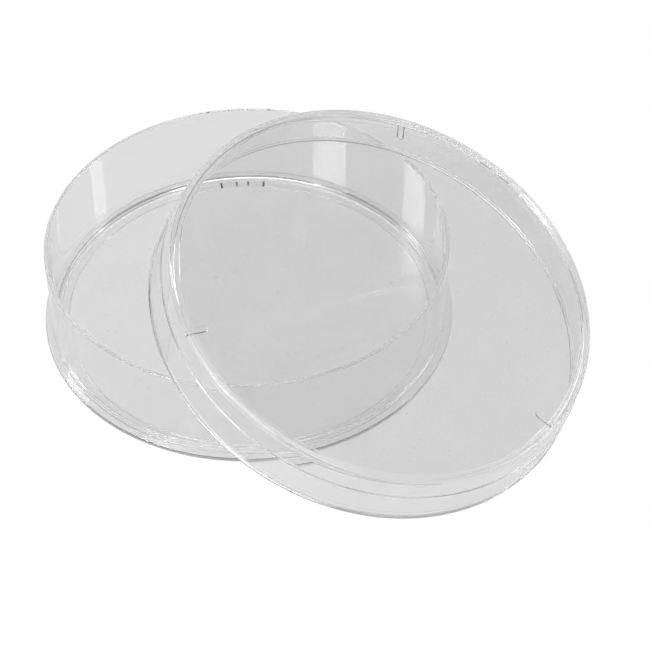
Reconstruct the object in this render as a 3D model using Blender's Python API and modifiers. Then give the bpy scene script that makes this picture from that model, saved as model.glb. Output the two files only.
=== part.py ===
"""A deep petri dish in clear plastic: the base stands open side up and the lid leans on its rim.

Both pieces are turned about their own axis from one profile. The base carries a flange round its
foot and a stacking ring underneath. The lid has a stacking ring on top, a shallow step round its
skirt and three radial vent ribs under its panel. Each ring is broken once, by two gaps with a
short bead left between them.
"""

import math

import bmesh
import bpy
from mathutils import Matrix, Vector

MM = 0.001

# Base, from its own axis and the table
BASE_RIM_R = 45.0 * MM
BASE_WALL_FOOT_R = 44.6 * MM
BASE_WALL = 1.0 * MM
BASE_RIM_WALL = 0.8 * MM
RIM_INNER_ROUND = 0.15 * MM
RIM_OUTER_ROUND = 0.25 * MM
BASE_HEIGHT = 22.7 * MM
BASE_FLOOR_UNDER = 0.6 * MM
BASE_FLOOR_TOP = 1.7 * MM
BASE_CORNER_R = 1.7 * MM
FLANGE_R = 46.3 * MM
FLANGE_TOP = 1.75 * MM
FLANGE_ROUND = 0.4 * MM
FOOT_RING_OUT_R = 43.1 * MM
FOOT_RING_IN_R = 41.0 * MM
FOOT_RING_EDGE = 0.2 * MM

# Lid, from its own axis and the plane of its open rim
LID_RIM_R = 48.8 * MM
LID_RIM_BEAD = 0.8 * MM
LID_SKIRT_LOW_R = 48.5 * MM
LID_STEP_R = 48.1 * MM
LID_STEP_Z = 8.1 * MM
LID_STEP_DEPTH = 0.35 * MM
LID_TOP_R = 47.3 * MM
LID_WALL = 1.0 * MM
LID_PANEL_UNDER = 11.8 * MM
LID_PANEL_TOP = 12.9 * MM
LID_CORNER_R = 0.9 * MM
LID_EDGE_ROUND = 0.45 * MM
LID_INNER_EDGE = 0.15 * MM
LID_BEAD_SHOULDER = 60
STACK_RING_IN_R = 45.1 * MM
STACK_RING_TOP = 13.3 * MM
STACK_RING_RISE = 0.3 * MM

# Radial vent ribs under the lid's panel
RIB_COUNT = 3
RIB_WIDTH = 1.6 * MM
RIB_DEPTH = 0.6 * MM
RIB_INNER_R = 41.8 * MM
RIB_OUTER_R = 46.7 * MM
RIB_NOSE_R = 0.77 * MM

# The break in each stacking ring, as lengths along the ring
FOOT_BREAK = math.radians(93.5)
FOOT_GAP = 3.7 * MM
FOOT_BEAD = 2.7 * MM
STACK_BREAK = math.radians(90.0)
STACK_GAP = 3.0 * MM
STACK_BEAD = 2.3 * MM

# The blocks that cut the gaps: they stop just short of the face that the ring stands on
CUT_HEIGHT = 1.5 * MM
CUT_SHORT = 0.05 * MM
CUT_MARGIN = 0.4 * MM
CUT_PAST_SKIRT = 1.2 * MM

# How the lid leans on the base
LEAN_OFFSET = 32.6 * MM
LEAN_BEARING = math.radians(-36.0)
LEAN_TILT = math.radians(20.15)
LEAN_TILT_BEARING = math.radians(-33.0)
LID_SPIN = math.radians(-1.5)

SEGMENTS = 96
ROUND_STEPS = 5
EDGE_STEPS = 3
FLANGE_STEPS = 4
NOSE_STEPS = 4
MERGE_DISTANCE = 0.00001

PLASTIC = (0.86, 0.88, 0.88, 1.0)
PLASTIC_IOR = 1.59
PLASTIC_TRANSMISSION = 0.9
BASE_ROUGHNESS = 0.04
LID_ROUGHNESS = 0.05


def clear_scene():
    for obj in list(bpy.data.objects):
        bpy.data.objects.remove(obj, do_unlink=True)


def new_collection(name):
    group = bpy.data.collections.new(name)
    bpy.context.scene.collection.children.link(group)
    return group


def plastic(name, roughness):
    material = bpy.data.materials.new(name)
    material.use_nodes = True
    shader = material.node_tree.nodes["Principled BSDF"]
    shader.inputs["Base Color"].default_value = PLASTIC
    shader.inputs["Roughness"].default_value = roughness
    shader.inputs["Metallic"].default_value = 0.0
    shader.inputs["IOR"].default_value = PLASTIC_IOR
    shader.inputs["Transmission Weight"].default_value = PLASTIC_TRANSMISSION
    return material


def arc(centre_r, centre_z, radius, start, end, steps=ROUND_STEPS):
    """Points of an arc in the profile plane, from one angle in degrees to another."""
    points = []
    for i in range(steps + 1):
        angle = math.radians(start + (end - start) * i / steps)
        points.append((centre_r + radius * math.cos(angle), centre_z + radius * math.sin(angle)))
    return points


def base_profile():
    """From the floor's centre, up the inside, over the rim, down the outside and under the foot."""
    inner_foot_r = BASE_WALL_FOOT_R - BASE_WALL
    inner_rim_r = BASE_RIM_R - BASE_RIM_WALL
    edge = FOOT_RING_EDGE
    points = [(0.0, BASE_FLOOR_TOP)]
    points += arc(inner_foot_r - BASE_CORNER_R, BASE_FLOOR_TOP + BASE_CORNER_R, BASE_CORNER_R, -90, 0)
    inner, outer = RIM_INNER_ROUND, RIM_OUTER_ROUND
    points += arc(inner_rim_r + inner, BASE_HEIGHT - inner, inner, 180, 90, EDGE_STEPS)
    points += arc(BASE_RIM_R - outer, BASE_HEIGHT - outer, outer, 90, 0, EDGE_STEPS)
    points.append((BASE_WALL_FOOT_R, FLANGE_TOP))
    flange = FLANGE_ROUND
    points += arc(FLANGE_R - flange, FLANGE_TOP - flange, flange, 90, 0, FLANGE_STEPS)
    points += arc(FLANGE_R - flange, BASE_FLOOR_UNDER + flange, flange, 0, -90, FLANGE_STEPS)
    points.append((FOOT_RING_OUT_R, BASE_FLOOR_UNDER))
    points.append((FOOT_RING_OUT_R, edge))
    points.append((FOOT_RING_OUT_R - edge, 0.0))
    points.append((FOOT_RING_IN_R + edge, 0.0))
    points.append((FOOT_RING_IN_R, edge))
    points.append((FOOT_RING_IN_R, BASE_FLOOR_UNDER))
    points.append((0.0, BASE_FLOOR_UNDER))
    return points


def lid_profile():
    """From the panel's centre, over the stacking ring, down the skirt, round the rim and back inside."""
    bead_round = LID_RIM_BEAD / 2
    inner_rim_r = LID_SKIRT_LOW_R - LID_WALL
    inner_step_r = LID_STEP_R - LID_WALL
    inner_top_r = LID_TOP_R - LID_WALL
    edge = LID_INNER_EDGE
    points = [(0.0, LID_PANEL_TOP)]
    points.append((STACK_RING_IN_R, LID_PANEL_TOP))
    points.append((STACK_RING_IN_R + STACK_RING_RISE / 2, STACK_RING_TOP - edge / 2))
    points.append((STACK_RING_IN_R + STACK_RING_RISE, STACK_RING_TOP))
    points += arc(LID_TOP_R - LID_EDGE_ROUND, STACK_RING_TOP - LID_EDGE_ROUND, LID_EDGE_ROUND, 90, 0)
    points.append((LID_STEP_R - LID_STEP_DEPTH, LID_STEP_Z + LID_STEP_DEPTH))
    points.append((LID_STEP_R, LID_STEP_Z))
    points.append((LID_SKIRT_LOW_R, LID_RIM_BEAD + bead_round))
    points += arc(LID_RIM_R - bead_round, bead_round, bead_round, LID_BEAD_SHOULDER, -90)
    points.append((inner_rim_r + edge, 0.0))
    points.append((inner_rim_r, edge))
    points.append((inner_step_r, LID_STEP_Z))
    points += arc(inner_top_r - LID_CORNER_R, LID_PANEL_UNDER - LID_CORNER_R, LID_CORNER_R, 0, 90)
    points.append((0.0, LID_PANEL_UNDER))
    return points


def turned(name, profile, group, material):
    """A solid of revolution about local Z, made from its profile by a Screw modifier."""
    mesh = bpy.data.meshes.new(name)
    vertices = [(r, 0.0, z) for r, z in profile]
    edges = [(i, i + 1) for i in range(len(profile) - 1)]
    mesh.from_pydata(vertices, edges, [])
    mesh.materials.append(material)
    obj = bpy.data.objects.new(name, mesh)
    group.objects.link(obj)
    screw = obj.modifiers.new("Turn", "SCREW")
    screw.axis = "Z"
    screw.steps = SEGMENTS
    screw.render_steps = SEGMENTS
    screw.use_merge_vertices = True
    screw.merge_threshold = MERGE_DISTANCE
    screw.use_smooth_shade = True
    return obj


def block(name, radial, across, height, group, nose=0.0):
    """A box centred on its own origin, long side radial; nose rounds its inner end."""
    shape = bmesh.new()
    bmesh.ops.create_cube(shape, size=1.0)
    bmesh.ops.scale(shape, vec=(radial, across, height), verts=shape.verts)
    if nose:
        inner = [e for e in shape.edges if all(v.co.x < 0.0 for v in e.verts)]
        upright = [e for e in inner if e.verts[0].co.y == e.verts[1].co.y]
        bmesh.ops.bevel(shape, geom=upright, offset=nose, segments=NOSE_STEPS, profile=0.5, affect="EDGES")
    mesh = bpy.data.meshes.new(name)
    shape.to_mesh(mesh)
    shape.free()
    obj = bpy.data.objects.new(name, mesh)
    group.objects.link(obj)
    obj.hide_render = True
    obj.display_type = "WIRE"
    return obj


def combine(obj, other, operation):
    modifier = obj.modifiers.new(other.name, "BOOLEAN")
    modifier.operation = operation
    modifier.solver = "EXACT"
    modifier.object = other


def break_ring(obj, label, bearing, inner_r, outer_r, z, gap, bead, group):
    """Cuts two gaps, either side of a short bead, in the ring that reaches from one radius to another."""
    radius = (inner_r + outer_r) / 2
    for side, letter in ((-1, "a"), (1, "b")):
        cutter = block(f"{label}_gap_{letter}", outer_r - inner_r, gap, CUT_HEIGHT, group)
        spin = Matrix.Rotation(bearing + side * (gap + bead) / 2 / radius, 4, "Z")
        cutter.matrix_world = spin @ Matrix.Translation((radius, 0.0, z))
        combine(obj, cutter, "DIFFERENCE")


def make_base(group, cutters):
    base = turned("dish_base", base_profile(), group, plastic("base_plastic", BASE_ROUGHNESS))
    z = BASE_FLOOR_UNDER - CUT_SHORT - CUT_HEIGHT / 2
    inner_r = FOOT_RING_IN_R - CUT_MARGIN
    outer_r = FOOT_RING_OUT_R + CUT_MARGIN
    break_ring(base, "foot", FOOT_BREAK, inner_r, outer_r, z, FOOT_GAP, FOOT_BEAD, cutters)
    return base


def make_lid(group, cutters):
    lid = turned("dish_lid", lid_profile(), group, plastic("lid_plastic", LID_ROUGHNESS))
    sunk = (LID_PANEL_TOP - LID_PANEL_UNDER) / 2
    rib_height = RIB_DEPTH + sunk
    rib_length = RIB_OUTER_R - RIB_INNER_R
    middle = ((RIB_INNER_R + RIB_OUTER_R) / 2, 0.0, LID_PANEL_UNDER + sunk - rib_height / 2)
    for i in range(RIB_COUNT):
        rib = block(f"rib_{i}", rib_length, RIB_WIDTH, rib_height, cutters, nose=RIB_NOSE_R)
        rib.matrix_world = Matrix.Rotation(2 * math.pi * i / RIB_COUNT, 4, "Z") @ Matrix.Translation(middle)
        combine(lid, rib, "UNION")
    z = LID_PANEL_TOP + CUT_SHORT + CUT_HEIGHT / 2
    inner_r = STACK_RING_IN_R - CUT_MARGIN
    outer_r = LID_TOP_R + CUT_PAST_SKIRT
    break_ring(lid, "stack", STACK_BREAK, inner_r, outer_r, z, STACK_GAP, STACK_BEAD, cutters)
    return lid


def leaning():
    """The lid's place: tilted, with the lowest point of its rim on the table."""
    drop = max(r * math.sin(LEAN_TILT) - z * math.cos(LEAN_TILT) for r, z in lid_profile())
    east = LEAN_OFFSET * math.cos(LEAN_BEARING)
    north = LEAN_OFFSET * math.sin(LEAN_BEARING)
    turn = Matrix.Rotation(LEAN_TILT_BEARING, 4, "Z")
    tilt = Matrix.Rotation(LEAN_TILT, 4, "Y")
    spin = Matrix.Rotation(LID_SPIN, 4, "Z")
    return Matrix.Translation((east, north, drop)) @ turn @ tilt @ spin


def place(obj, helpers, matrix):
    for piece in [obj] + helpers:
        piece.matrix_world = matrix @ piece.matrix_world


def middle_of(objects):
    """The middle of the objects' bounding box, seen from above."""
    bpy.context.view_layer.update()
    graph = bpy.context.evaluated_depsgraph_get()
    corners = []
    for obj in objects:
        seen = obj.evaluated_get(graph)
        mesh = seen.to_mesh()
        corners += [seen.matrix_world @ v.co for v in mesh.vertices]
        seen.to_mesh_clear()
    xs = [c.x for c in corners]
    ys = [c.y for c in corners]
    return Vector(((min(xs) + max(xs)) / 2, (min(ys) + max(ys)) / 2, 0.0))


def main():
    clear_scene()
    parts = new_collection("petri_dish")
    cutters = new_collection("cutters")
    base = make_base(parts, cutters)
    base_helpers = list(cutters.objects)
    lid = make_lid(parts, cutters)
    lid_helpers = [obj for obj in cutters.objects if obj not in base_helpers]
    place(lid, lid_helpers, leaning())
    to_origin = Matrix.Translation(-middle_of([base, lid]))
    place(base, base_helpers, to_origin)
    place(lid, lid_helpers, to_origin)


main()
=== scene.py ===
"""A deep petri dish in clear polystyrene: the base open side up and the lid leaning on its rim.

Both mouldings are turned from filleted profiles, with the breaks in the stacking rings and the
vent ribs formed in the same skin, and stand for the CAD nodes dish_base and dish_lid.
"""

import math

import bmesh
import bpy
import numpy as np
from mathutils import Matrix, Vector


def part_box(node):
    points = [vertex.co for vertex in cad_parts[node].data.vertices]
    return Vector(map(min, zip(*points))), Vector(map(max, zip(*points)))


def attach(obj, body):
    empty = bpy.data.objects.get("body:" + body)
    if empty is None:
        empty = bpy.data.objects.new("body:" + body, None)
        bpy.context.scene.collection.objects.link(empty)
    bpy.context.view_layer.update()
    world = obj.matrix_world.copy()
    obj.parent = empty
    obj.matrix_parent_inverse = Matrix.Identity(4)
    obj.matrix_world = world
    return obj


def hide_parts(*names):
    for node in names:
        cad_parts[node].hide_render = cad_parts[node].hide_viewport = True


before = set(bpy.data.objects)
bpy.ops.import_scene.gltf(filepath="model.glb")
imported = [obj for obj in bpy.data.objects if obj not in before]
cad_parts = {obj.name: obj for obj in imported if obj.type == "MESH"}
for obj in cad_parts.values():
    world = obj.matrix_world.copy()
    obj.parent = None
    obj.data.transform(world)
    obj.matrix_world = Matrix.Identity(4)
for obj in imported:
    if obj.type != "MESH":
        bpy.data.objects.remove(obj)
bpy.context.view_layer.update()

MM = 0.001
OWN_PLACE = "own_place"

# Base, from its own axis and the table, in millimetres
BASE_RIM_R = 45.0
BASE_WALL_FOOT_R = 44.6
BASE_WALL = 1.0
BASE_RIM_WALL = 0.8
RIM_INNER_ROUND = 0.15
RIM_OUTER_ROUND = 0.25
BASE_HEIGHT = 22.7
BASE_FLOOR_UNDER = 0.6
BASE_FLOOR_TOP = 1.7
BASE_CORNER_R = 1.7
FLANGE_R = 46.3
FLANGE_TOP = 1.75
FOOT_RING_OUT_R = 43.1
FOOT_RING_IN_R = 41.0
FOOT_RING_ROUND = 0.2
FOOT_RING_DRAFT = 0.06
FLANGE_ROUND = 0.4

# Lid, from its own axis and the plane of its open rim, in millimetres
LID_RIM_R = 48.8
LID_RIM_BEAD = 0.8
LID_SKIRT_LOW_R = 48.5
LID_STEP_R = 48.1
LID_STEP_Z = 8.1
LID_STEP_DEPTH = 0.2
LID_TOP_R = 47.3
LID_WALL = 1.0
LID_PANEL_UNDER = 11.8
LID_PANEL_TOP = 12.9
LID_INNER_CORNER = 0.9
LID_TOP_ROUND = 0.7
STACK_RING_IN_R = 45.1
STACK_RING_TOP = 13.3
STACK_RING_SLOPE = 0.25

# Vent ribs under the lid's panel, with sides that slope in over RIB_SIDE
RIB_BEARINGS = (0.0, 120.0, 240.0)
RIB_WIDTH = 1.6
RIB_DEPTH = 0.35
RIB_INNER_R = 41.8
RIB_SIDE = 0.35
RIB_SPREAD = 0.1

# The break in each stacking ring: two gaps with a short bead between them
FOOT_BREAK = 93.5
STACK_BREAK = 90.0
FOOT_GAP = 3.7
FOOT_BEAD = 2.7
STACK_GAP = 3.0
STACK_BEAD = 2.3
FOOT_GAP_SLOPE = 0.3
STACK_GAP_SLOPE = 0.12
STACK_GAP_DEPTH = 0.97

# How the lid leans
LEAN_OFFSET = 32.6
LEAN_BEARING = math.radians(-36.0)
LEAN_TILT = math.radians(20.15)
LEAN_TILT_BEARING = math.radians(-33.0)
LID_SPIN = math.radians(-1.5)

# How finely the skins are divided, in millimetres. Heights within NEAR of each other are equal
EVEN_BEARINGS = 360
FOOT_BEARING_COUNT = 64
STACK_BEARING_COUNT = 60
BREAK_MARGIN = 0.4
RIB_HALF_DETAIL = 1.1
RIB_BEARING_COUNT = 26
RIB_SPACING = 0.12
RIB_RUN_MARGIN = 0.6
LONGEST_RUN = 4.0
GUARD, GUARD_SHARE = 0.06, 0.2
FILLET_SHARE = 0.49
NEAR = 0.001

# The plastic. Tints and shades multiply the light that goes through. The tints are the plastic's
# own grey, the floor's shade is painted light and the panel's shade is painted shade, and the speck
# shade darkens scattered specks. Heights and edges are in millimetres, and each noise is a scale
# per metre, a detail and a roughness
PLASTIC_IOR = 1.59
GRAIN, CLOUD, FLOW = (5200.0, 2.0, 0.6), (90.0, 4.0, 0.55), (35.0, 2.0, 0.5)
FINE, SPECKS = (2600.0, 3.0, 0.7), (1500.0, 0.0, 0.5)
NARROW_SPAN, WIDE_SPAN, SPECK_SPAN = (0.3, 0.7), (0.25, 0.75), (0.80, 0.86)
# The floor shade after the base's tint is painted light: it makes the dish floor lighter than the
# rest of the base's plastic
BASE_TINT, FLOOR_PAINTED_LIGHT = (0.94, 0.955), 1.045
# The panel shade after the lid's tint is painted shade: it darkens the lid's panel in place of the
# shadow the leaning lid casts on the table under it
LID_TINT, PANEL_PAINTED_SHADE = (0.945, 0.96), 0.955
SHADE_SPREAD = 0.02
SPECK_SHADE = 0.80
POLISH = (0.015, 0.045)
MATT = (0.06, 0.16)
FLOW_HEIGHT = 0.02
PIT_HEIGHT = 0.004
BAND_SOFT = 0.1
STACK_FROST_RADII, STACK_FROST_RISE = (45.3, 47.05), (13.18, 13.28)
FOOT_FROST_RADII, FOOT_FROST_FALL = (41.2, 42.9), (0.02, 0.12)
# Where the painted shading lies: the lid's panel and the dish's floor
PANEL_EDGE, PANEL_RISE = (44.8, 45.1), (11.3, 11.5)
FLOOR_EDGE, FLOOR_FALL = (40.5, 41.0), (1.8, 2.0)

# The studio, in metres, and its levels of light
TABLE_REACH = 3.0
TABLE_DROP = 0.0002
TABLE_GREY = 0.12
TABLE_GLOW = 0.64
HORIZON_LIGHT, SKY_LIGHT = 0.35, 0.50
SKY_RISE = (0.0, 0.3)
DARK_BEHIND, DARK_HIGH, DARK_ACROSS = (0.10, 0.25), (0.74, 0.82), (0.20, 0.35)
DARK_SHARE = 0.95

# Lights aimed at the base's axis: azimuth, elevation, distance, width, height, radiance
BASE_LIGHTS = {
    "window": (-130.0, 42.2, 0.843, 0.24, 0.10, 40.0),
    "left": (-62.0, 43.0, 1.0, 0.30, 0.14, 7.0),
    "right_band": (80.0, 41.5, 1.0, 0.14, 0.12, 5.0),
}
# Lights aimed at the middle of the whole object, MIDDLE_HEIGHT over the table
MIDDLE_LIGHTS = {
    "left_low": (-78.0, 16.0, 1.2, 0.70, 0.28, 1.7),
    "right_low": (78.0, 16.0, 1.2, 0.70, 0.28, 2.2),
    "overhead": (180.0, 72.0, 1.2, 1.1, 0.9, 2.5),
}
MIDDLE_HEIGHT = 0.01

# Camera, in millimetres from the foot of the base's axis. The bounces let light run up the walls
LENS = 132.92307692307693
SENSOR = 36.0
CAMERA_PLACE = (17.431, -387.147, 390.369)
CAMERA_DOWN = 45.558
CLIP = (0.01, 50.0)
LIGHT_BOUNCES = 128


def fillet(before, corner, after, radius, steps):
    """Points of the round that replaces a corner between two straight runs."""
    if radius == 0:
        return [corner]
    b, c, a = (Vector(p) for p in (before, corner, after))
    into, out = (b - c).normalized(), (a - c).normalized()
    half = into.angle(out) / 2
    shorter = min((b - c).length, (a - c).length)
    reach = min(radius / math.tan(half), FILLET_SHARE * shorter)
    radius = reach * math.tan(half)
    centre = c + (into + out).normalized() * radius / math.sin(half)
    start, end = c + into * reach - centre, c + out * reach - centre
    turn = start.angle_signed(end)
    points = []
    for i in range(steps + 1):
        angle = -turn * i / steps
        ca, sa = math.cos(angle), math.sin(angle)
        across = ca * start.x - sa * start.y
        up = sa * start.x + ca * start.y
        points.append((centre.x + across, centre.y + up))
    return points


def rounded(corners):
    """A profile of (radius, height) points from (radius, height, fillet, steps) corners.

    Straight runs get a point close to each end, so that shading stays flat along them, and are
    divided so that no piece is over LONGEST_RUN.
    """
    runs = [[corners[0][:2]]]
    for i in range(1, len(corners) - 1):
        r, z, radius, steps = corners[i]
        runs.append(fillet(corners[i - 1][:2], (r, z), corners[i + 1][:2], radius, steps))
    runs.append([corners[-1][:2]])
    points = list(runs[0])
    for run in runs[1:]:
        a, b = Vector(points[-1]), Vector(run[0])
        length = (b - a).length
        guard = min(GUARD, GUARD_SHARE * length)
        stops = [guard]
        pieces = max(1, math.ceil((length - 2 * guard) / LONGEST_RUN))
        stops += [guard + (length - 2 * guard) * k / pieces for k in range(1, pieces)]
        stops.append(length - guard)
        points += [tuple(a.lerp(b, s / length)) for s in stops]
        points += run
    return points


def bearings(details):
    """Bearings round the axis in radians: evenly spaced, and closer at each detail.

    A detail is (middle, half width, count).
    """
    taken = set(round(2 * math.pi * i / EVEN_BEARINGS, 9) for i in range(EVEN_BEARINGS))
    for middle, half, count in details:
        taken = {a for a in taken if abs(math.remainder(a - middle, 2 * math.pi)) > half}
        start, step = middle - half, 2 * half / count
        taken |= {round((start + step * i) % (2 * math.pi), 9) for i in range(count + 1)}
    return sorted(taken)


def smooth(edge0, edge1, x):
    t = min(1.0, max(0.0, (x - edge0) / (edge1 - edge0)))
    return t * t * (3 - 2 * t)


def away(angle, middle, radius):
    """Distance along the arc at that radius, signed."""
    return math.remainder(angle - middle, 2 * math.pi) * radius


def gap_mask(angle, bearing, radius, gap, bead, soft):
    """1 inside a gap of the broken ring, 0 on the ring and on the bead between its two gaps."""
    d = abs(away(angle, math.radians(bearing), radius))
    past_bead = smooth(bead / 2 - soft, bead / 2 + soft, d)
    return past_bead * (1 - smooth(bead / 2 + gap - soft, bead / 2 + gap + soft, d))


def rib_mask(angle, radius):
    """1 on a vent rib: a round-nosed bar that runs out to the wall."""
    best = 0.0
    half = RIB_WIDTH / 2
    for bearing in RIB_BEARINGS:
        across = away(angle, math.radians(bearing), radius)
        along = radius - (RIB_INNER_R + half)
        d = math.hypot(across, min(along, 0.0))
        best = max(best, 1 - smooth(half - RIB_SIDE, half + RIB_SPREAD, d))
    return best


def skin(name, profile, angles, height):
    """A closed turned skin. height(r, z, angle) gives each point its own height."""
    shape = bmesh.new()
    first = shape.verts.new((0, 0, height(0.0, profile[0][1], 0.0) * MM))
    last = shape.verts.new((0, 0, height(0.0, profile[-1][1], 0.0) * MM))
    inner = profile[1:-1]
    columns = []
    for angle in angles:
        c, s = math.cos(angle) * MM, math.sin(angle) * MM
        places = [(r * c, r * s, height(r, z, angle) * MM) for r, z in inner]
        columns.append([shape.verts.new(place) for place in places])
    for i, column in enumerate(columns):
        other = columns[(i + 1) % len(columns)]
        shape.faces.new((first, column[0], other[0]))
        for j in range(len(inner) - 1):
            shape.faces.new((column[j], column[j + 1], other[j + 1], other[j]))
        shape.faces.new((column[-1], last, other[-1]))
    bmesh.ops.recalc_face_normals(shape, faces=shape.faces)
    for face in shape.faces:
        face.smooth = True
    mesh = bpy.data.meshes.new(name)
    shape.to_mesh(mesh)
    shape.free()
    keep_own_places(mesh)
    obj = bpy.data.objects.new(name, mesh)
    bpy.context.scene.collection.objects.link(obj)
    return obj


def keep_own_places(mesh):
    """Stores each point's place from the piece's own axis, before it leans, for its material."""
    places = np.empty(len(mesh.vertices) * 3, np.float32)
    mesh.vertices.foreach_get("co", places)
    own = mesh.attributes.new(OWN_PLACE, "FLOAT_VECTOR", "POINT")
    own.data.foreach_set("vector", places)


def base_profile():
    foot_in = BASE_WALL_FOOT_R - BASE_WALL
    rim_in = BASE_RIM_R - BASE_RIM_WALL
    return rounded(
        [
            (0.0, BASE_FLOOR_TOP, 0, 0),
            (foot_in, BASE_FLOOR_TOP, BASE_CORNER_R, 10),
            (rim_in, BASE_HEIGHT, RIM_INNER_ROUND, 4),
            (BASE_RIM_R, BASE_HEIGHT, RIM_OUTER_ROUND, 5),
            (BASE_WALL_FOOT_R, FLANGE_TOP, 0.2, 4),
            (FLANGE_R, FLANGE_TOP, FLANGE_ROUND, 6),
            (FLANGE_R, BASE_FLOOR_UNDER, FLANGE_ROUND, 6),
            (FOOT_RING_OUT_R + FOOT_RING_DRAFT, BASE_FLOOR_UNDER, 0.08, 3),
            (FOOT_RING_OUT_R, 0.0, FOOT_RING_ROUND, 5),
            (FOOT_RING_IN_R, 0.0, FOOT_RING_ROUND, 5),
            (FOOT_RING_IN_R - FOOT_RING_DRAFT, BASE_FLOOR_UNDER, 0.08, 3),
            (0.0, BASE_FLOOR_UNDER, 0, 0),
        ]
    )


def lid_profile():
    rim_in = LID_SKIRT_LOW_R - LID_WALL
    step_in = LID_STEP_R - LID_WALL
    top_in = LID_TOP_R - LID_WALL
    return rounded(
        [
            (0.0, LID_PANEL_TOP, 0, 0),
            (STACK_RING_IN_R, LID_PANEL_TOP, 0.12, 3),
            (STACK_RING_IN_R + STACK_RING_SLOPE, STACK_RING_TOP, 0.18, 4),
            (LID_TOP_R, STACK_RING_TOP, LID_TOP_ROUND, 9),
            (LID_STEP_R - LID_STEP_DEPTH, LID_STEP_Z + LID_STEP_DEPTH, 0.12, 4),
            (LID_STEP_R, LID_STEP_Z, 0.15, 4),
            (LID_SKIRT_LOW_R, LID_RIM_BEAD + 0.4, 0.5, 4),
            (LID_RIM_R, LID_RIM_BEAD - 0.1, 0.3, 5),
            (LID_RIM_R, 0.0, 0.4, 7),
            (rim_in, 0.0, 0.15, 4),
            (step_in, LID_STEP_Z, 0.6, 4),
            (top_in, LID_PANEL_UNDER, LID_INNER_CORNER, 9),
            (RIB_INNER_R - RIB_RUN_MARGIN, LID_PANEL_UNDER, 0, 1),
            (0.0, LID_PANEL_UNDER, 0, 0),
        ]
    )


def base_height(r, z, angle):
    """The foot ring drops away to the floor's underside in its gaps."""
    mean = (FOOT_RING_OUT_R + FOOT_RING_IN_R) / 2
    if z >= BASE_FLOOR_UNDER or r > FOOT_RING_OUT_R + FOOT_RING_ROUND:
        return z
    gap = gap_mask(angle, FOOT_BREAK, mean, FOOT_GAP, FOOT_BEAD, FOOT_GAP_SLOPE)
    return z + (BASE_FLOOR_UNDER - z) * gap


def lid_height(r, z, angle):
    """The stacking ring sinks to the panel in its gaps, and the ribs hang from the panel."""
    if z > LID_PANEL_TOP:
        mean = (STACK_RING_IN_R + LID_TOP_R) / 2
        gap = gap_mask(angle, STACK_BREAK, mean, STACK_GAP, STACK_BEAD, STACK_GAP_SLOPE)
        return z + (LID_PANEL_TOP - z) * STACK_GAP_DEPTH * gap
    low = LID_PANEL_UNDER - RIB_DEPTH
    if low < z < LID_PANEL_UNDER + NEAR and r < LID_TOP_R - LID_WALL + NEAR:
        return z + (low - z) * rib_mask(angle, r)
    return z


def divided_for_ribs(profile, start, end):
    """The profile with its run along the panel's underside divided closely between two radii."""
    points = []
    for (r0, z0), (r1, z1) in zip(profile, profile[1:]):
        points.append((r0, z0))
        level = max(abs(z0 - LID_PANEL_UNDER), abs(z1 - LID_PANEL_UNDER)) < NEAR
        if level and min(r0, r1) >= start and max(r0, r1) <= end:
            pieces = max(1, math.ceil(abs(r1 - r0) / RIB_SPACING))
            points += [(r0 + (r1 - r0) * k / pieces, z0) for k in range(1, pieces)]
    points.append(profile[-1])
    return points


def break_detail(bearing, radius, gap, bead, count):
    return (math.radians(bearing), (bead / 2 + gap + BREAK_MARGIN) / radius, count)


class Nodes:
    """Shorthand for building a node tree."""

    def __init__(self, tree):
        self.tree = tree

    def add(self, kind, **settings):
        node = self.tree.nodes.new(kind)
        for key, value in settings.items():
            setattr(node, key, value)
        return node

    def link(self, source, target):
        self.tree.links.new(source, target)

    def math(self, operation, a, b=None):
        node = self.add("ShaderNodeMath", operation=operation)
        for socket, value in zip(node.inputs, (a, b)):
            if value is None:
                continue
            if isinstance(value, (int, float)):
                socket.default_value = value
            else:
                self.link(value, socket)
        return node.outputs[0]

    def noise(self, vector, scale, detail, rough):
        node = self.add("ShaderNodeTexNoise")
        node.inputs["Scale"].default_value = scale
        node.inputs["Detail"].default_value = detail
        node.inputs["Roughness"].default_value = rough
        self.link(vector, node.inputs["Vector"])
        return node.outputs["Fac"]

    def ramp(self, value, low, high, to_low=0.0, to_high=1.0):
        node = self.add("ShaderNodeMapRange", interpolation_type="SMOOTHSTEP")
        limits = {"From Min": low, "From Max": high, "To Min": to_low, "To Max": to_high}
        for name, number in limits.items():
            node.inputs[name].default_value = number
        self.link(value, node.inputs["Value"])
        return node.outputs["Result"]


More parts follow.
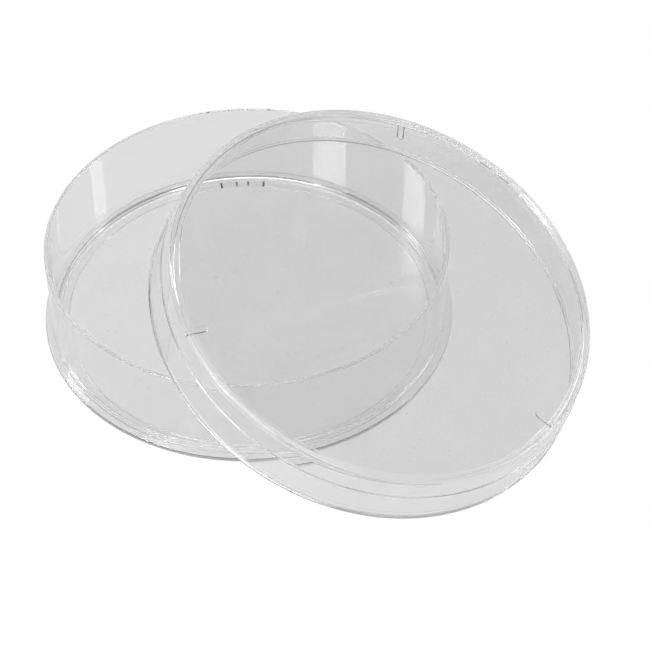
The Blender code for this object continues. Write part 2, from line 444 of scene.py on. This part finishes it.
def clear_plastic(name, frosted, flat, tint_range, painted_flat_shading):
    """Moulded clear polystyrene.

    frosted(nodes, radius, height) gives the mask of its matt areas, and flat(...) that of its
    broad flat, which has a fine grain and scattered specks on a painted shading level: painted
    light where that level is over 1 and painted shade where it is under 1.
    """
    material = bpy.data.materials.new(name)
    material.use_nodes = True
    n = Nodes(material.node_tree)
    shader = material.node_tree.nodes["Principled BSDF"]
    shader.inputs["Transmission Weight"].default_value = 1.0
    shader.inputs["IOR"].default_value = PLASTIC_IOR
    shader.inputs["Metallic"].default_value = 0.0
    here = n.add("ShaderNodeAttribute", attribute_name=OWN_PLACE).outputs["Vector"]
    split = n.add("ShaderNodeSeparateXYZ")
    n.link(here, split.inputs[0])
    x, y, z = split.outputs
    radius = n.math("SQRT", n.math("ADD", n.math("MULTIPLY", x, x), n.math("MULTIPLY", y, y)))
    mask = frosted(n, radius, z)
    on_flat = flat(n, radius, z)
    grain = n.noise(here, *GRAIN)
    cloud = n.noise(here, *CLOUD)
    flow = n.noise(here, *FLOW)
    tint = n.add("ShaderNodeMix", data_type="RGBA")
    tint.inputs["A"].default_value = (tint_range[0],) * 3 + (1,)
    tint.inputs["B"].default_value = (tint_range[1],) * 3 + (1,)
    n.link(n.ramp(cloud, *NARROW_SPAN), tint.inputs["Factor"])
    # On the flat, the colour is a fine grain and specks around a painted shading level, which
    # paints light on the dish floor and shade on the lid's panel
    fine = n.noise(here, *FINE)
    fine = n.ramp(fine, *WIDE_SPAN, painted_flat_shading - SHADE_SPREAD, painted_flat_shading + SHADE_SPREAD)
    specks = n.ramp(n.noise(here, *SPECKS), *SPECK_SPAN, 1.0, SPECK_SHADE)
    shade = n.math("MULTIPLY", fine, specks)
    shade = n.math("ADD", n.math("MULTIPLY", n.math("SUBTRACT", shade, 1.0), on_flat), 1.0)
    tint_grain_and_painted_shading = n.add("ShaderNodeVectorMath", operation="SCALE")
    n.link(tint.outputs["Result"], tint_grain_and_painted_shading.inputs[0])
    n.link(shade, tint_grain_and_painted_shading.inputs["Scale"])
    n.link(tint_grain_and_painted_shading.outputs["Vector"], shader.inputs["Base Color"])
    polish = n.ramp(cloud, *WIDE_SPAN, *POLISH)
    matt = n.math("MULTIPLY", mask, n.ramp(grain, *NARROW_SPAN, *MATT))
    n.link(n.math("ADD", polish, matt), shader.inputs["Roughness"])
    wave = n.math("MULTIPLY", flow, FLOW_HEIGHT)
    pits = n.math("MULTIPLY", n.math("MULTIPLY", grain, mask), PIT_HEIGHT)
    bump = n.add("ShaderNodeBump")
    bump.inputs["Strength"].default_value = 1.0
    bump.inputs["Distance"].default_value = MM
    n.link(n.math("ADD", wave, pits), bump.inputs["Height"])
    n.link(bump.outputs["Normal"], shader.inputs["Normal"])
    return material


def step_up(n, value, low, high):
    """0 below one millimetre mark and 1 above another."""
    return n.ramp(value, low * MM, high * MM)


def step_down(n, value, low, high):
    return n.ramp(value, low * MM, high * MM, 1.0, 0.0)


def band(n, radius, low, high):
    """The mask of a ring between two radii, with soft edges."""
    inside = step_up(n, radius, low - BAND_SOFT, low + BAND_SOFT)
    return n.math("MULTIPLY", inside, step_down(n, radius, high - BAND_SOFT, high + BAND_SOFT))


def lid_frost(n, radius, z):
    """The top of the lid's stacking ring."""
    on_ring = band(n, radius, *STACK_FROST_RADII)
    return n.math("MULTIPLY", on_ring, step_up(n, z, *STACK_FROST_RISE))


def base_frost(n, radius, z):
    """The underside of the base's foot ring."""
    on_ring = band(n, radius, *FOOT_FROST_RADII)
    return n.math("MULTIPLY", on_ring, step_down(n, z, *FOOT_FROST_FALL))


# The lid's panel: where the lid's painted shade lies
def lid_panel(n, radius, z):
    return n.math("MULTIPLY", step_down(n, radius, *PANEL_EDGE), step_up(n, z, *PANEL_RISE))


# The dish's floor: where the base's painted light lies
def dish_floor(n, radius, z):
    return n.math("MULTIPLY", step_down(n, radius, *FLOOR_EDGE), step_down(n, z, *FLOOR_FALL))


def make_base(axis):
    mean = (FOOT_RING_OUT_R + FOOT_RING_IN_R) / 2
    angles = bearings([break_detail(FOOT_BREAK, mean, FOOT_GAP, FOOT_BEAD, FOOT_BEARING_COUNT)])
    base = skin("base_moulding", base_profile(), angles, base_height)
    # The dish floor gets painted light
    plastic = clear_plastic("base_polystyrene", base_frost, dish_floor, BASE_TINT, FLOOR_PAINTED_LIGHT)
    base.data.materials.append(plastic)
    base.data.transform(Matrix.Translation(axis))
    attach(base, "base")
    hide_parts("dish_base")


def leaning(profile, axis):
    """The lid's place: tilted, with the lowest point of its rim on the table."""
    drop = max(r * math.sin(LEAN_TILT) - z * math.cos(LEAN_TILT) for r, z in profile)
    east = LEAN_OFFSET * math.cos(LEAN_BEARING)
    north = LEAN_OFFSET * math.sin(LEAN_BEARING)
    place = Matrix.Translation(Vector((east, north, drop)) * MM + axis)
    turn = Matrix.Rotation(LEAN_TILT_BEARING, 4, "Z")
    tilt = Matrix.Rotation(LEAN_TILT, 4, "Y")
    spin = Matrix.Rotation(LID_SPIN, 4, "Z")
    return place @ turn @ tilt @ spin


def make_lid(axis):
    mean = (STACK_RING_IN_R + LID_TOP_R) / 2
    half = RIB_HALF_DETAIL / RIB_INNER_R
    details = [(math.radians(b), half, RIB_BEARING_COUNT) for b in RIB_BEARINGS]
    details.append(break_detail(STACK_BREAK, mean, STACK_GAP, STACK_BEAD, STACK_BEARING_COUNT))
    profile = divided_for_ribs(lid_profile(), RIB_INNER_R - RIB_RUN_MARGIN - GUARD, LID_TOP_R)
    lid = skin("lid_moulding", profile, bearings(details), lid_height)
    # The lid's panel gets painted shade
    plastic = clear_plastic("lid_polystyrene", lid_frost, lid_panel, LID_TINT, PANEL_PAINTED_SHADE)
    lid.data.materials.append(plastic)
    lid.data.transform(leaning(profile, axis))
    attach(lid, "lid")
    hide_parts("dish_lid")


def white_to_camera(n, lit, white, out):
    """Shows plain white straight to the camera, and the lit shader to every other ray."""
    mix = n.add("ShaderNodeMixShader")
    n.link(n.add("ShaderNodeLightPath").outputs["Is Camera Ray"], mix.inputs["Fac"])
    n.link(lit.outputs[0], mix.inputs[1])
    n.link(white.outputs[0], mix.inputs[2])
    n.link(mix.outputs[0], out.inputs["Surface"])


def make_floor():
    """A wide pale table. It shows plain white where nothing stands in front of it."""
    mesh = bpy.data.meshes.new("floor")
    reach = TABLE_REACH
    corners = [(-reach, -reach, 0), (reach, -reach, 0), (reach, reach, 0), (-reach, reach, 0)]
    mesh.from_pydata(corners, [], [(0, 1, 2, 3)])
    floor = bpy.data.objects.new("floor", mesh)
    floor.location.z = -TABLE_DROP
    bpy.context.scene.collection.objects.link(floor)
    material = bpy.data.materials.new("pale_table")
    material.use_nodes = True
    n = Nodes(material.node_tree)
    material.node_tree.nodes.clear()
    out = n.add("ShaderNodeOutputMaterial")
    card = n.add("ShaderNodeBsdfDiffuse")
    card.inputs["Color"].default_value = (TABLE_GREY, TABLE_GREY, TABLE_GREY, 1)
    glow = n.add("ShaderNodeEmission")
    glow.inputs["Strength"].default_value = TABLE_GLOW
    lit = n.add("ShaderNodeAddShader")
    n.link(card.outputs[0], lit.inputs[0])
    n.link(glow.outputs[0], lit.inputs[1])
    white = n.add("ShaderNodeEmission")
    white.inputs["Color"].default_value = (1, 1, 1, 1)
    white_to_camera(n, lit, white, out)
    mesh.materials.append(material)


def make_world():
    """A soft studio dome, dimmer near the horizon and dark high up behind the object."""
    world = bpy.data.worlds.new("studio")
    bpy.context.scene.world = world
    world.use_nodes = True
    n = Nodes(world.node_tree)
    world.node_tree.nodes.clear()
    out = n.add("ShaderNodeOutputWorld")
    split = n.add("ShaderNodeSeparateXYZ")
    n.link(n.add("ShaderNodeTexCoord").outputs["Generated"], split.inputs[0])
    x, y, z = split.outputs
    level = n.ramp(z, *SKY_RISE, HORIZON_LIGHT, SKY_LIGHT)
    behind = n.ramp(y, *DARK_BEHIND)
    high = n.ramp(z, *DARK_HIGH)
    central = n.ramp(n.math("ABSOLUTE", x), *DARK_ACROSS, 1.0, 0.0)
    dark = n.math("MULTIPLY", n.math("MULTIPLY", behind, high), central)
    kept = n.math("SUBTRACT", 1.0, n.math("MULTIPLY", dark, DARK_SHARE))
    dome = n.add("ShaderNodeBackground")
    n.link(n.math("MULTIPLY", level, kept), dome.inputs["Strength"])
    white = n.add("ShaderNodeBackground")
    white.inputs["Strength"].default_value = 1.0
    white.inputs["Color"].default_value = (1, 1, 1, 1)
    white_to_camera(n, dome, white, out)


def softbox(name, azimuth, elevation, distance, width, height, radiance, target):
    """A rectangular light that faces the object. Azimuth is from +Y towards +X, seen from above."""
    a, e = math.radians(azimuth), math.radians(elevation)
    towards = Vector((math.sin(a) * math.cos(e), math.cos(a) * math.cos(e), math.sin(e)))
    light = bpy.data.lights.new(name, "AREA")
    light.shape = "RECTANGLE"
    light.size = width
    light.size_y = height
    light.energy = radiance * math.pi * width * height
    lamp = bpy.data.objects.new(name, light)
    lamp.location = target + towards * distance
    lamp.rotation_mode = "QUATERNION"
    lamp.rotation_quaternion = towards.to_track_quat("Z", "Y")
    bpy.context.scene.collection.objects.link(lamp)


def make_lights(axis):
    for name, light in BASE_LIGHTS.items():
        softbox(name, *light, axis)
    for name, light in MIDDLE_LIGHTS.items():
        softbox(name, *light, Vector((0.0, 0.0, MIDDLE_HEIGHT)))


def make_camera(axis):
    camera = bpy.data.cameras.new("camera")
    camera.lens = LENS
    camera.sensor_width = SENSOR
    camera.clip_start, camera.clip_end = CLIP
    eye = bpy.data.objects.new("camera", camera)
    eye.location = Vector(CAMERA_PLACE) * MM + axis
    eye.rotation_euler = (math.radians(90.0 - CAMERA_DOWN), 0.0, 0.0)
    bpy.context.scene.collection.objects.link(eye)
    bpy.context.scene.camera = eye


def set_light_paths():
    """Keeps highlights sharp through the plastic, and follows light that runs along inside it."""
    scene = bpy.context.scene
    scene.view_settings.view_transform = "Standard"
    scene.cycles.blur_glossy = 0.0
    scene.cycles.glossy_bounces = LIGHT_BOUNCES
    scene.cycles.max_bounces = LIGHT_BOUNCES
    scene.cycles.transmission_bounces = LIGHT_BOUNCES
    scene.cycles.transparent_max_bounces = LIGHT_BOUNCES


def main():
    low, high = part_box("dish_base")
    axis = Vector(((low[0] + high[0]) / 2, (low[1] + high[1]) / 2, 0.0))
    make_base(axis)
    make_lid(axis)
    make_floor()
    make_world()
    make_lights(axis)
    make_camera(axis)
    set_light_paths()


main()
